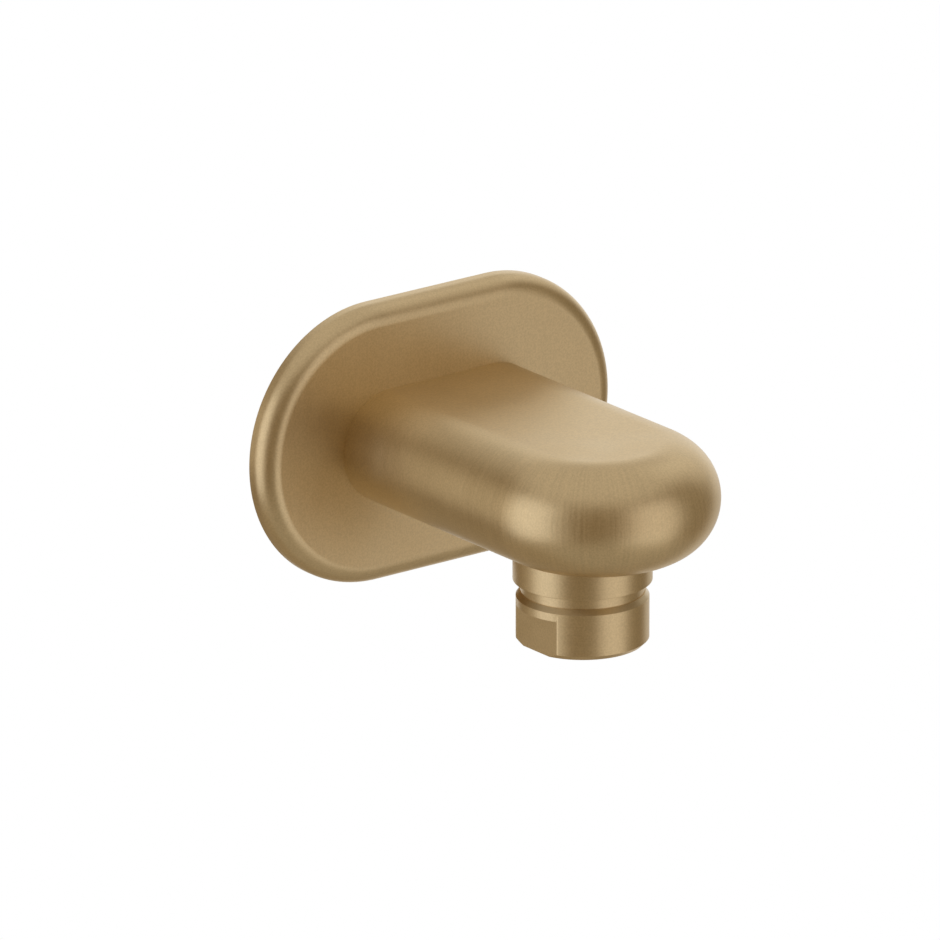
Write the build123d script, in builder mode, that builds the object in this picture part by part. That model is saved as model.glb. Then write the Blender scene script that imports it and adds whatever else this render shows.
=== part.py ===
from build123d import *
import os

os.makedirs("parts", exist_ok=True)

# Wall outlet elbow, in millimetres. The origin is on the inlet axis, in the plane of the wall.
# The wall is the plane y = 0, the arm comes out of it along -Y, and +Z is up.

# Wall plate: a stadium with a wide quarter-round rim and a hollow back
plate_width = 91.0
plate_height = 60.0
rim_wall = 1.5
rim_round = 4.2
plate_side_wall = 3.2
plate_front_wall = 2.4
seal_strip_gap = 0.1
seal_strip_width = 5.0

# Arm: stadium section, half-round tip, and a stepped-in root that passes through the plate
arm_width = 51.0
arm_height = 24.4
tip_centre_reach = 57.8
root_step = 1.4
root_fit_gap = 0.1
root_wall_gap = 1.2
arm_core_wall = 3.0
core_depth = 36.0
core_corner = 3.0

# Inlet socket and waterway inside the arm
socket_root_wall = 1.75
socket_depth = 22.6
socket_mouth_chamfer = 0.8
waterway_diameter = 14.0

# Inlet nipple: the pipe thread stands behind the wall plane
inlet_thread_diameter = 20.955
inlet_thread_length = 13.0
inlet_thread_chamfer = 1.2
nipple_shoulder_reach = 0.5
nipple_fit_gap = 0.05
nipple_bore = 9.5
nipple_key_width = 10.0
nipple_key_depth = 10.0
nipple_nose_chamfer = 1.0
nipple_end_gap = 1.0

# Seals on the nipple
seal_groove_width = 2.6
seal_groove_depth = 1.5
seal_spacing = 4.4
seal_nose_land = 2.6
seal_width = 2.3
seal_shoulder = 0.45
seal_squeeze_gap = 0.02

# Grub screw and the groove that it bears in
lock_reach = 9.3
lock_groove_side_gap = 0.3
lock_groove_depth = 1.0
grub_diameter = 5.0
grub_hole_gap = 0.05
grub_seat_gap = 0.05
grub_recess = 0.2
grub_key_width = 2.5
grub_key_depth = 2.0
grub_point = 0.7

# Collar under the tip
outlet_reach = 53.2
collar_diameter = 28.8
collar_drop = 18.8
collar_edge_round = 0.3
joint_thread_diameter = 24.0
joint_thread_length = 6.4
seal_bore_diameter = 21.1
chamber_top = 4.0
joint_gap = 0.05

# Outlet connector
neck_diameter = 25.6
neck_height = 2.5
ring_diameter = 27.5
ring_height = 10.95
ring_top_bevel = 0.8
ring_top_bevel_height = 1.1
ring_bottom_bevel = 1.0
flats_across = 24.0
flats_height = 8.2
spigot_diameter = 21.0
spigot_length = 11.2
hose_thread_bore = 18.63
hose_thread_depth = 10.0
hose_mouth_chamfer = 1.2
washer_floor = 2.5
floor_opening = 13.0
chamber_diameter = 16.4
outlet_seal_drop = 1.3

# Non-return valve cartridge
cartridge_gap = 0.1
cartridge_height = 14.6
cartridge_wall = 1.3
cartridge_seal_groove = 0.8
cartridge_seal_width = 2.0
cartridge_seal_reach = 3.2
cartridge_seal_shoulder = 0.25
seat_plate = 1.7
seat_opening = 10.0
seat_gap = 0.05
guide_ring_wall = 1.1
guide_ring_height = 2.2
guide_gap = 0.05
guide_hub_diameter = 4.6
guide_foot = 1.0
spoke_width = 1.3
spoke_height = 1.6
spoke_count = 3
valve_travel = 3.0
poppet_diameter = 12.0
poppet_disc = 1.2
poppet_seal_height = 1.0
poppet_nose_diameter = 8.6
poppet_nose_tip = 4.0
poppet_nose_rise = 1.2
stem_diameter = 2.4
stem_gap = 0.1
stem_engagement = 3.6
stop_gap = 0.3
spring_diameter = 6.6
spring_wire = 0.6
spring_turns = 3.0
wire_sides = 4

# Planes and levels that the pieces share
face_depth = rim_wall + rim_round
back_depth = face_depth - plate_front_wall
root_width = arm_width - 2 * root_step
root_height = arm_height - 2 * root_step
socket_radius = root_height / 2 - socket_root_wall
socket_floor_reach = root_wall_gap + socket_depth
core_inner = socket_radius + arm_core_wall
core_width = root_width / 2 - arm_core_wall - core_inner
core_centre = core_inner + core_width / 2
nipple_radius = socket_radius - nipple_fit_gap
nipple_end_reach = socket_floor_reach - nipple_end_gap
lock_floor_radius = nipple_radius - lock_groove_depth
lock_groove_width = grub_diameter + 2 * lock_groove_side_gap
seal_floor_radius = nipple_radius - seal_groove_depth
seal_outer_reach = nipple_end_reach - seal_nose_land - seal_groove_width / 2
seal_inner_reach = seal_outer_reach - seal_spacing
outlet_axis = Axis((0, -outlet_reach, 0), (0, 0, 1))
inlet_axis = Axis((0, 0, 0), (0, 1, 0))
outlet_plane = Plane.XZ.offset(outlet_reach)
ring_top = -collar_drop - neck_height
ring_bottom = ring_top - ring_height
spigot_top = -collar_drop + spigot_length
joint_top = -collar_drop + joint_thread_length
washer_level = ring_bottom + hose_thread_depth
chamber_floor = washer_level + washer_floor
cartridge_radius = chamber_diameter / 2 - cartridge_gap
cartridge_bore = cartridge_radius - cartridge_wall
cartridge_top = chamber_floor + cartridge_height
seat_level = cartridge_top - seat_plate
cartridge_seal_level = spigot_top - cartridge_seal_reach
poppet_seal_top = seat_level - seat_gap
poppet_disc_top = poppet_seal_top - poppet_seal_height
poppet_disc_bottom = poppet_disc_top - poppet_disc
guide_hub_bottom = chamber_floor + guide_foot
guide_hub_top = poppet_disc_bottom - valve_travel - stop_gap
guide_hub_height = guide_hub_top - guide_hub_bottom
spoke_top = chamber_floor + guide_ring_height
stem_bottom = guide_hub_top - stem_engagement
outlet_seal_level = spigot_top - outlet_seal_drop - seal_groove_width / 2

# Wall plate: cast rosette with a low side wall, a wide rounded rim and a hollow back
with BuildPart() as wall_plate:
    with BuildSketch(Plane.XZ):
        SlotOverall(plate_width, plate_height)
    extrude(amount=face_depth)
    fillet(wall_plate.faces().sort_by(Axis.Y)[0].edges(), radius=rim_round)
    with BuildSketch(Plane.XZ):
        SlotOverall(plate_width - 2 * plate_side_wall, plate_height - 2 * plate_side_wall)
    extrude(amount=back_depth, mode=Mode.SUBTRACT)
    with BuildSketch(Plane.XZ):
        SlotOverall(root_width + 2 * root_fit_gap, root_height + 2 * root_fit_gap)
    extrude(amount=face_depth, mode=Mode.SUBTRACT)
wall_plate.part.label = "wall_plate"
export_step(wall_plate.part, "parts/wall_plate.step")

# Wall seal: a soft strip laid round the hollow back, flush with the wall
strip_width = plate_width - 2 * (plate_side_wall + seal_strip_gap)
strip_height = plate_height - 2 * (plate_side_wall + seal_strip_gap)
strip_inner_width = strip_width - 2 * seal_strip_width
strip_inner_height = strip_height - 2 * seal_strip_width
with BuildPart() as wall_seal:
    with BuildSketch(Plane.XZ):
        SlotOverall(strip_width, strip_height)
        SlotOverall(strip_inner_width, strip_inner_height, mode=Mode.SUBTRACT)
    extrude(amount=back_depth)
wall_seal.part.label = "wall_seal"
export_step(wall_seal.part, "parts/wall_seal.step")

# Arm: one casting with its collar, cored from the back on either side of the waterway
with BuildPart() as elbow_arm:
    with BuildSketch(Plane.XZ.offset(face_depth)):
        SlotOverall(arm_width, arm_height)
    extrude(amount=tip_centre_reach - face_depth)
    with BuildSketch(Plane.XZ.offset(tip_centre_reach)):
        SlotOverall(arm_width, arm_height)
        Rectangle(arm_width, arm_height, align=(Align.MAX, Align.CENTER), mode=Mode.SUBTRACT)
    revolve(axis=Axis((0, -tip_centre_reach, 0), (0, 0, -1)), revolution_arc=180)
    with BuildSketch(Plane.XZ.offset(root_wall_gap)):
        SlotOverall(root_width, root_height)
    extrude(amount=face_depth - root_wall_gap)
    with BuildSketch(Plane((0, -outlet_reach, -collar_drop))):
        Circle(collar_diameter / 2)
    extrude(amount=collar_drop)
    fillet(elbow_arm.faces().sort_by(Axis.Z)[0].edges(), radius=collar_edge_round)
    # Inlet socket with a bevelled mouth, then the waterway to the outlet
    with BuildSketch(Plane.XZ.offset(root_wall_gap)):
        Circle(socket_radius)
    extrude(amount=socket_depth, mode=Mode.SUBTRACT)
    with BuildSketch(Plane.XZ.offset(socket_floor_reach)):
        Circle(waterway_diameter / 2)
    extrude(amount=outlet_reach - socket_floor_reach, mode=Mode.SUBTRACT)
    # Outlet bore: threaded below, plain for the seal above
    with BuildSketch(Plane((0, -outlet_reach, -collar_drop))):
        Circle(joint_thread_diameter / 2)
    extrude(amount=joint_thread_length, mode=Mode.SUBTRACT)
    with BuildSketch(Plane((0, -outlet_reach, joint_top))):
        Circle(seal_bore_diameter / 2)
    extrude(amount=chamber_top - joint_top, mode=Mode.SUBTRACT)
    # Core pockets on either side of the socket
    with BuildSketch(Plane.XZ.offset(root_wall_gap)):
        with Locations((-core_centre, 0), (core_centre, 0)):
            RectangleRounded(core_width, root_height - 2 * arm_core_wall, core_corner)
    extrude(amount=core_depth, mode=Mode.SUBTRACT)
    # Tapped hole for the grub screw
    with BuildSketch(Plane((0, -lock_reach, -arm_height / 2))):
        Circle(grub_diameter / 2 + grub_hole_gap)
    extrude(amount=arm_height / 2, mode=Mode.SUBTRACT)
    socket_rims = elbow_arm.edges().filter_by(GeomType.CIRCLE)
    socket_rims = socket_rims.filter_by(lambda e: abs(e.radius - socket_radius) < 0.01)
    chamfer(socket_rims.sort_by(Axis.Y)[-1], length=socket_mouth_chamfer)
elbow_arm.part.label = "elbow_arm"
export_step(elbow_arm.part, "parts/elbow_arm.step")

# Inlet nipple: turned brass, keyed from the front to screw it into the wall
with BuildPart() as inlet_nipple:
    with BuildSketch(Plane.XZ.offset(nipple_shoulder_reach)):
        Circle(inlet_thread_diameter / 2)
    extrude(amount=-(nipple_shoulder_reach + inlet_thread_length))
    chamfer(inlet_nipple.faces().sort_by(Axis.Y)[-1].edges(), length=inlet_thread_chamfer)
    with BuildSketch(Plane.XZ.offset(nipple_shoulder_reach)):
        Circle(nipple_radius)
    extrude(amount=nipple_end_reach - nipple_shoulder_reach)
    chamfer(inlet_nipple.faces().sort_by(Axis.Y)[0].edges(), length=nipple_nose_chamfer)
    with BuildSketch(Plane.XZ.offset(-inlet_thread_length)):
        Circle(nipple_bore / 2)
    extrude(amount=inlet_thread_length + nipple_end_reach, mode=Mode.SUBTRACT)
    with BuildSketch(Plane.XZ.offset(nipple_end_reach)):
        RegularPolygon(nipple_key_width / 2, 6, major_radius=False)
    extrude(amount=-nipple_key_depth, mode=Mode.SUBTRACT)
    for groove_reach in (seal_inner_reach, seal_outer_reach):
        with BuildSketch(Plane.XZ.offset(groove_reach)):
            Circle(socket_radius)
            Circle(seal_floor_radius, mode=Mode.SUBTRACT)
        extrude(amount=seal_groove_width / 2, both=True, mode=Mode.SUBTRACT)
    with BuildSketch(Plane.XZ.offset(lock_reach)):
        Circle(socket_radius)
        Circle(lock_floor_radius, mode=Mode.SUBTRACT)
    extrude(amount=lock_groove_width / 2, both=True, mode=Mode.SUBTRACT)
inlet_nipple.part.label = "inlet_nipple"
export_step(inlet_nipple.part, "parts/inlet_nipple.step")

# Two rubber rings squeezed between the nipple and the socket
ring_outer_radius = socket_radius - seal_squeeze_gap
ring_inner_radius = seal_floor_radius + seal_squeeze_gap
for seal_name, seal_reach in (("inner", seal_inner_reach), ("outer", seal_outer_reach)):
    with BuildPart() as inlet_o_ring:
        with BuildSketch(Plane.YZ):
            with Locations((-seal_reach, (ring_outer_radius + ring_inner_radius) / 2)):
                Rectangle(seal_width, ring_outer_radius - ring_inner_radius)
            chamfer(vertices(), length=seal_shoulder)
        revolve(axis=inlet_axis)
    inlet_o_ring.part.label = f"inlet_o_ring_{seal_name}"
    export_step(inlet_o_ring.part, f"parts/inlet_o_ring_{seal_name}.step")

# Grub screw under the arm: hexagon socket below, cup point in the nipple's groove
grub_top = -lock_floor_radius - grub_seat_gap
grub_bottom = -arm_height / 2 + grub_recess
with BuildPart() as grub_screw:
    with BuildSketch(Plane((0, -lock_reach, grub_bottom))):
        Circle(grub_diameter / 2)
    extrude(amount=grub_top - grub_bottom)
    chamfer(grub_screw.faces().sort_by(Axis.Z)[-1].edges(), length=grub_point)
    with BuildSketch(Plane((0, -lock_reach, grub_bottom))):
        RegularPolygon(grub_key_width / 2, 6, major_radius=False)
    extrude(amount=grub_key_depth, mode=Mode.SUBTRACT)
grub_screw.part.label = "grub_screw"
export_step(grub_screw.part, "parts/grub_screw.step")

# Outlet connector: turned ring with wrench flats, screwed up into the collar
with BuildPart() as outlet_connector:
    with BuildSketch(Plane((0, -outlet_reach, ring_bottom))):
        Circle(ring_diameter / 2)
    extrude(amount=ring_height)
    ring_crown = outlet_connector.faces().sort_by(Axis.Z)[-1]
    chamfer(ring_crown.edges(), length=ring_top_bevel, length2=ring_top_bevel_height, reference=ring_crown)
    chamfer(outlet_connector.faces().sort_by(Axis.Z)[0].edges(), length=ring_bottom_bevel)
    # Two wrench flats, open at the bottom
    with BuildSketch(Plane((0, -outlet_reach, ring_bottom))):
        Rectangle(2 * ring_diameter, 2 * ring_diameter)
        Rectangle(flats_across, 2 * ring_diameter, mode=Mode.SUBTRACT)
    extrude(amount=flats_height, mode=Mode.SUBTRACT)
    # Neck against the collar, then a threaded spigot with a plain end that carries the seal
    with BuildSketch(Plane((0, -outlet_reach, ring_top))):
        Circle(neck_diameter / 2)
    extrude(amount=neck_height)
    with BuildSketch(Plane((0, -outlet_reach, -collar_drop))):
        Circle(joint_thread_diameter / 2 - joint_gap)
    extrude(amount=joint_thread_length - joint_gap)
    with BuildSketch(Plane((0, -outlet_reach, -collar_drop))):
        Circle(spigot_diameter / 2)
    extrude(amount=spigot_length)
    with BuildSketch(Plane((0, -outlet_reach, outlet_seal_level))):
        Circle(seal_bore_diameter / 2)
        Circle(spigot_diameter / 2 - seal_groove_depth, mode=Mode.SUBTRACT)
    extrude(amount=seal_groove_width / 2, both=True, mode=Mode.SUBTRACT)
    # Hose thread below, washer floor, and the chamber for the valve above
    with BuildSketch(Plane((0, -outlet_reach, ring_bottom))):
        Circle(hose_thread_bore / 2)
    extrude(amount=hose_thread_depth, mode=Mode.SUBTRACT)
    with BuildSketch(Plane((0, -outlet_reach, washer_level))):
        Circle(floor_opening / 2)
    extrude(amount=washer_floor, mode=Mode.SUBTRACT)
    with BuildSketch(Plane((0, -outlet_reach, chamber_floor))):
        Circle(chamber_diameter / 2)
    extrude(amount=spigot_top - chamber_floor, mode=Mode.SUBTRACT)
    bore_rims = outlet_connector.edges().filter_by(GeomType.CIRCLE)
    bore_rims = bore_rims.filter_by(lambda e: abs(e.radius - hose_thread_bore / 2) < 0.01)
    chamfer(bore_rims.sort_by(Axis.Z)[0], length=hose_mouth_chamfer)
outlet_connector.part.label = "outlet_connector"
export_step(outlet_connector.part, "parts/outlet_connector.step")

# Rubber ring that seals the connector's spigot in the collar
outlet_ring_outer = seal_bore_diameter / 2 - seal_squeeze_gap
outlet_ring_inner = spigot_diameter / 2 - seal_groove_depth + seal_squeeze_gap
with BuildPart() as outlet_o_ring:
    with BuildSketch(outlet_plane):
        with Locations(((outlet_ring_outer + outlet_ring_inner) / 2, outlet_seal_level)):
            Rectangle(outlet_ring_outer - outlet_ring_inner, seal_width)
        chamfer(vertices(), length=seal_shoulder)
    revolve(axis=outlet_axis)
outlet_o_ring.part.label = "outlet_o_ring"
export_step(outlet_o_ring.part, "parts/outlet_o_ring.step")

# Valve housing: a moulded cup, open below, with the seat in its top
with BuildPart() as check_valve_housing:
    with BuildSketch(Plane((0, -outlet_reach, chamber_floor))):
        Circle(cartridge_radius)
    extrude(amount=cartridge_height)
    with BuildSketch(Plane((0, -outlet_reach, chamber_floor))):
        Circle(cartridge_bore)
    extrude(amount=cartridge_height - seat_plate, mode=Mode.SUBTRACT)
    with BuildSketch(Plane((0, -outlet_reach, seat_level))):
        Circle(seat_opening / 2)
    extrude(amount=seat_plate, mode=Mode.SUBTRACT)
    with BuildSketch(Plane((0, -outlet_reach, cartridge_seal_level))):
        Circle(chamber_diameter / 2)
        Circle(cartridge_radius - cartridge_seal_groove, mode=Mode.SUBTRACT)
    extrude(amount=cartridge_seal_width / 2, both=True, mode=Mode.SUBTRACT)
check_valve_housing.part.label = "check_valve_housing"
export_step(check_valve_housing.part, "parts/check_valve_housing.step")

# Small rubber ring round the housing
cartridge_ring_outer = chamber_diameter / 2 - seal_squeeze_gap
cartridge_ring_inner = cartridge_radius - cartridge_seal_groove + seal_squeeze_gap
cartridge_ring_height = cartridge_seal_width - 2 * seal_squeeze_gap
with BuildPart() as check_valve_o_ring:
    with BuildSketch(outlet_plane):
        with Locations(((cartridge_ring_outer + cartridge_ring_inner) / 2, cartridge_seal_level)):
            Rectangle(cartridge_ring_outer - cartridge_ring_inner, cartridge_ring_height)
        chamfer(vertices(), length=cartridge_seal_shoulder)
    revolve(axis=outlet_axis)
check_valve_o_ring.part.label = "check_valve_o_ring"
export_step(check_valve_o_ring.part, "parts/check_valve_o_ring.step")

# Valve guide: ring, spokes and a hub that the poppet's stem slides in
spoke_length = cartridge_bore - guide_gap - guide_ring_wall / 2
with BuildPart() as check_valve_guide:
    with BuildSketch(Plane((0, -outlet_reach, chamber_floor))):
        Circle(cartridge_bore - guide_gap)
        Circle(cartridge_bore - guide_gap - guide_ring_wall, mode=Mode.SUBTRACT)
    extrude(amount=guide_ring_height)
    with BuildSketch(Plane((0, -outlet_reach, guide_hub_bottom))):
        Circle(guide_hub_diameter / 2)
    extrude(amount=guide_hub_height)
    with BuildSketch(Plane((0, -outlet_reach, spoke_top - spoke_height))):
        with PolarLocations(0, spoke_count, start_angle=90):
            Rectangle(spoke_length, spoke_width, align=(Align.MIN, Align.CENTER))
    extrude(amount=spoke_height)
    with BuildSketch(Plane((0, -outlet_reach, chamber_floor))):
        Circle(stem_diameter / 2 + stem_gap)
    extrude(amount=guide_foot + guide_hub_height, mode=Mode.SUBTRACT)
check_valve_guide.part.label = "check_valve_guide"
export_step(check_valve_guide.part, "parts/check_valve_guide.step")

# Poppet: a disc with a tapered nose above and a stem below, shut against the seat
with BuildPart() as check_valve_poppet:
    with BuildSketch(Plane((0, -outlet_reach, poppet_disc_bottom))):
        Circle(poppet_diameter / 2)
    extrude(amount=poppet_disc)
    with BuildSketch(Plane((0, -outlet_reach, poppet_disc_top))):
        Circle(poppet_nose_diameter / 2)
    extrude(amount=poppet_seal_height)
    with BuildSketch(Plane((0, -outlet_reach, poppet_seal_top))):
        Circle(poppet_nose_diameter / 2)
    with BuildSketch(Plane((0, -outlet_reach, poppet_seal_top + poppet_nose_rise))):
        Circle(poppet_nose_tip / 2)
    loft()
    with BuildSketch(Plane((0, -outlet_reach, stem_bottom))):
        Circle(stem_diameter / 2)
    extrude(amount=poppet_disc_bottom - stem_bottom)
check_valve_poppet.part.label = "check_valve_poppet"
export_step(check_valve_poppet.part, "parts/check_valve_poppet.step")

# Soft washer on the poppet, which closes on the seat
with BuildPart() as check_valve_seal:
    with BuildSketch(Plane((0, -outlet_reach, poppet_disc_top))):
        Circle(poppet_diameter / 2)
        Circle(poppet_nose_diameter / 2 + seal_squeeze_gap, mode=Mode.SUBTRACT)
    extrude(amount=poppet_seal_height)
check_valve_seal.part.label = "check_valve_seal"
export_step(check_valve_seal.part, "parts/check_valve_seal.step")

# Compression spring between the guide's spokes and the poppet's disc
spring_bottom = spoke_top + spring_wire / 2
spring_top = poppet_disc_bottom - spring_wire / 2
spring_height = spring_top - spring_bottom
coil_radius = (spring_diameter - spring_wire) / 2
coil_foot = (0, -outlet_reach, spring_bottom)
with BuildPart() as check_valve_spring:
    with BuildLine() as coil:
        Helix(spring_height / spring_turns, spring_height, coil_radius, center=coil_foot)
    with BuildSketch(Plane(origin=coil.line @ 0, z_dir=coil.line % 0)):
        RegularPolygon(spring_wire / 2, wire_sides)
    sweep(is_frenet=True)
check_valve_spring.part.label = "check_valve_spring"
export_step(check_valve_spring.part, "parts/check_valve_spring.step")
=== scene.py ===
import math
import bmesh
import bpy
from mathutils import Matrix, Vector


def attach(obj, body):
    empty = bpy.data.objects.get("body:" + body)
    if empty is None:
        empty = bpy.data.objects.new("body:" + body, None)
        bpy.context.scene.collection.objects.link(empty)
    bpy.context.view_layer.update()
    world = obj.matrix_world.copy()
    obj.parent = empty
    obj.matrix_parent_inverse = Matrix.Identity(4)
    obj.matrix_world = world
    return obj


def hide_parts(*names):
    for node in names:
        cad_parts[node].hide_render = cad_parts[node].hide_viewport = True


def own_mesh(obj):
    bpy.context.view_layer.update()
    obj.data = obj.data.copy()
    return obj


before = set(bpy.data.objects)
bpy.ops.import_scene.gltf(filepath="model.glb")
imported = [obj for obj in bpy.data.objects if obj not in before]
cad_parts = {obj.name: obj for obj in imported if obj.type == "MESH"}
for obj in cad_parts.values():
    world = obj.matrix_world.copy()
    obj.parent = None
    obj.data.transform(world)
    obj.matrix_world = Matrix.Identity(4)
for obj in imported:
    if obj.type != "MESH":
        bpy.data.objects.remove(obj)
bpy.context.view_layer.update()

mm = 0.001

# Wall plate. A stadium-shaped rosette cast in brass, with a low side wall and a wide rounded rim.
# Its back is hollow, and the arm's root passes through a slot in its face.
# It is brushed upright and coated satin bronze.
plate_width = 91 * mm
plate_height = 60 * mm
face_reach = 5.7 * mm
rim_round = 4.2 * mm
plate_side_wall = 3.2 * mm
plate_back_reach = 3.3 * mm
slot_width = 48.4 * mm
slot_height = 21.8 * mm
slot_cut = 8 * mm
overrun = 1 * mm  # how far a cutter runs past what it cuts
hair = 0.001 * mm  # slack for corners picked or merged by their place
finish_margin = 0.05 * mm  # how far a finish runs on past an edge


def pick(piece, kind, test):
    """Select the vertices, edges or faces, in edit mode, whose corners all pass the test."""
    bpy.ops.mesh.select_mode(type=kind)
    bpy.ops.mesh.select_all(action="DESELECT")
    shape = bmesh.from_edit_mesh(piece.data)
    for part in {"VERT": shape.verts, "EDGE": shape.edges, "FACE": shape.faces}[kind]:
        corners = [part] if kind == "VERT" else part.verts
        part.select_set(all(test(corner.co) for corner in corners))
    shape.select_flush_mode()
    bmesh.update_edit_mesh(piece.data)


def clear_bench():
    """Leave the piece in hand and deselect everything."""
    if bpy.context.object and bpy.context.object.mode == "EDIT":
        bpy.ops.object.mode_set(mode="OBJECT")
    bpy.ops.object.select_all(action="DESELECT")


def take(piece):
    """Take one piece in hand."""
    clear_bench()
    piece.select_set(True)
    bpy.context.view_layer.objects.active = piece


def settle():
    """Put the place, turn and size of the piece in hand into its mesh."""
    bpy.ops.object.transform_apply(location=True, rotation=True, scale=True)


def open_for_editing(name):
    """Name the primitive just added, settle it and open it."""
    piece = bpy.context.object
    piece.name = piece.data.name = name
    settle()
    bpy.ops.object.mode_set(mode="EDIT")
    return piece


def pull(x, y, z):
    """Extrude what is selected by this much."""
    bpy.ops.mesh.extrude_region_move(TRANSFORM_OT_translate={"value": (x, y, z)})


def merge_corners(slack):
    """Merge the corners of the shape in hand that lie on each other."""
    bpy.ops.mesh.select_all(action="SELECT")
    bpy.ops.mesh.remove_doubles(threshold=slack)


def face_outwards():
    """Turn every wall of the closed shape in hand to face outwards."""
    bpy.ops.mesh.select_all(action="SELECT")
    bpy.ops.mesh.normals_make_consistent(inside=False)


def round_over(piece, radius, test, segments=10):
    """Round the sharp edges whose ends pass the test."""
    face_outwards()
    bpy.ops.mesh.select_mode(type="EDGE")
    bpy.ops.mesh.select_all(action="DESELECT")
    bpy.ops.mesh.edges_select_sharp(sharpness=math.radians(25))
    shape = bmesh.from_edit_mesh(piece.data)
    kept = [edge for edge in shape.edges if edge.select and all(test(end.co) for end in edge.verts)]
    bpy.ops.mesh.select_all(action="DESELECT")
    for edge in kept:
        edge.select_set(True)
    bmesh.update_edit_mesh(piece.data)
    bpy.ops.mesh.bevel(offset=radius, segments=segments, profile=0.5, affect="EDGES", clamp_overlap=False)


def stadium(name, width, height, reach):
    """A flat stadium at a reach from the wall: two half circles set apart and filled."""
    clear_bench()
    bpy.ops.mesh.primitive_circle_add(
        vertices=192, radius=height / 2, location=(0, -reach, 0), rotation=(math.pi / 2, 0, 0)
    )
    piece = open_for_editing(name)
    pick(piece, "VERT", lambda p: p.x < -hair)
    bpy.ops.mesh.delete(type="VERT")
    bpy.ops.mesh.select_all(action="SELECT")
    bpy.ops.transform.translate(value=((width - height) / 2, 0, 0))
    bpy.ops.mesh.duplicate()
    bpy.ops.transform.rotate(value=math.pi, orient_axis="Y", center_override=(0, -reach, 0))
    bpy.ops.mesh.select_all(action="SELECT")
    bpy.ops.mesh.edge_face_add()
    return piece


def carve(piece, cutter, operation="DIFFERENCE"):
    """Cut one closed shape out of a piece, or fuse it on, and throw the cutter away."""
    clear_bench()
    cut = piece.modifiers.new("Cut", "BOOLEAN")
    cut.operation = operation
    cut.solver = "EXACT"
    cut.object = cutter
    bpy.context.view_layer.objects.active = piece
    bpy.ops.object.modifier_apply(modifier=cut.name)
    bpy.data.objects.remove(cutter)


def close_up(piece, angle=30):
    """Face every wall outwards, shade the rounds smooth and keep the flats flat."""
    take(piece)
    bpy.ops.object.mode_set(mode="EDIT")
    merge_corners(hair / 2)
    face_outwards()
    bpy.ops.object.mode_set(mode="OBJECT")
    bpy.ops.object.shade_smooth_by_angle(angle=math.radians(angle))
    flats = piece.modifiers.new("Flats", "WEIGHTED_NORMAL")
    flats.keep_sharp = True
    bpy.ops.object.modifier_apply(modifier=flats.name)


def add_node(tree, kind, feeds, **settings):
    """Add a shader node and feed its inputs with plain values or with other nodes' outputs."""
    node = tree.nodes.new(kind)
    for name, value in settings.items():
        setattr(node, name, value)
    for socket, value in feeds.items():
        if isinstance(value, bpy.types.NodeSocket):
            tree.links.new(value, node.inputs[socket])
        else:
            node.inputs[socket].default_value = value
    return node


def work(tree, operation, *values):
    """One step of arithmetic."""
    return add_node(tree, "ShaderNodeMath", dict(enumerate(values)), operation=operation).outputs[0]


def chain(tree, operation, values):
    """The same step of arithmetic over several values."""
    result = values[0]
    for value in values[1:]:
        result = work(tree, operation, result, value)
    return result


def total(tree, *values):
    """Several values added up."""
    return chain(tree, "ADD", values)


def times(tree, *values):
    """Several values multiplied, or where several masks meet."""
    return chain(tree, "MULTIPLY", values)


def either(tree, *masks):
    """Where any of several masks lies."""
    return chain(tree, "MAXIMUM", masks)


def apart(tree, one_way, other_way):
    """The straight distance over two legs."""
    squares = [work(tree, "POWER", leg, 2.0) for leg in (one_way, other_way)]
    return work(tree, "SQRT", total(tree, *squares))


def off_centre(tree, value):
    """A mark counted from its middle, -1 to 1."""
    return work(tree, "MULTIPLY_ADD", value, 2.0, -1.0)


def ease(tree, value, low, high, to_low=0.0, to_high=1.0):
    """Ease a value from one range into another, held at its ends."""
    feeds = {"Value": value, "From Min": low, "From Max": high, "To Min": to_low, "To Max": to_high}
    return add_node(tree, "ShaderNodeMapRange", feeds, interpolation_type="SMOOTHSTEP").outputs[0]


def blend_colours(tree, share, first, second):
    """Mix two colours by a share."""
    feeds = {"Factor": share}
    for socket, colour in ((6, first), (7, second)):
        feeds[socket] = colour if isinstance(colour, bpy.types.NodeSocket) else (*colour, 1)
    return add_node(tree, "ShaderNodeMix", feeds, data_type="RGBA").outputs[2]


def start_group(name, takes, gives):
    """A node group with named inputs and outputs."""
    group = bpy.data.node_groups.new(name, "ShaderNodeTree")
    for socket, kind in takes.items():
        group.interface.new_socket(name=socket, in_out="INPUT", socket_type=kind)
    for socket in gives:
        group.interface.new_socket(name=socket, in_out="OUTPUT", socket_type="NodeSocketFloat")
    return group, group.nodes.new("NodeGroupInput").outputs, group.nodes.new("NodeGroupOutput").inputs


# Brush lines: uneven fine strokes, told apart across and running on along
stroke_length = 45.0  # times their width
brush_lines, entry, outlet = start_group(
    "Brush lines",
    {"Across": "NodeSocketFloat", "Along": "NodeSocketFloat", "Pitch": "NodeSocketFloat"},
    ["Lines"],
)
stroke_across = work(brush_lines, "DIVIDE", entry["Across"], entry["Pitch"])
stroke_along = chain(brush_lines, "DIVIDE", (entry["Along"], entry["Pitch"], stroke_length))
stroke_place = add_node(brush_lines, "ShaderNodeCombineXYZ", {"X": stroke_across, "Y": stroke_along})
strokes = add_node(
    brush_lines,
    "ShaderNodeTexNoise",
    {"Vector": stroke_place.outputs[0], "Scale": 1.0, "Detail": 3.0, "Roughness": 0.65},
    noise_dimensions="2D",
)
brush_lines.links.new(ease(brush_lines, strokes.outputs[0], 0.28, 0.72), outlet["Lines"])

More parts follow.
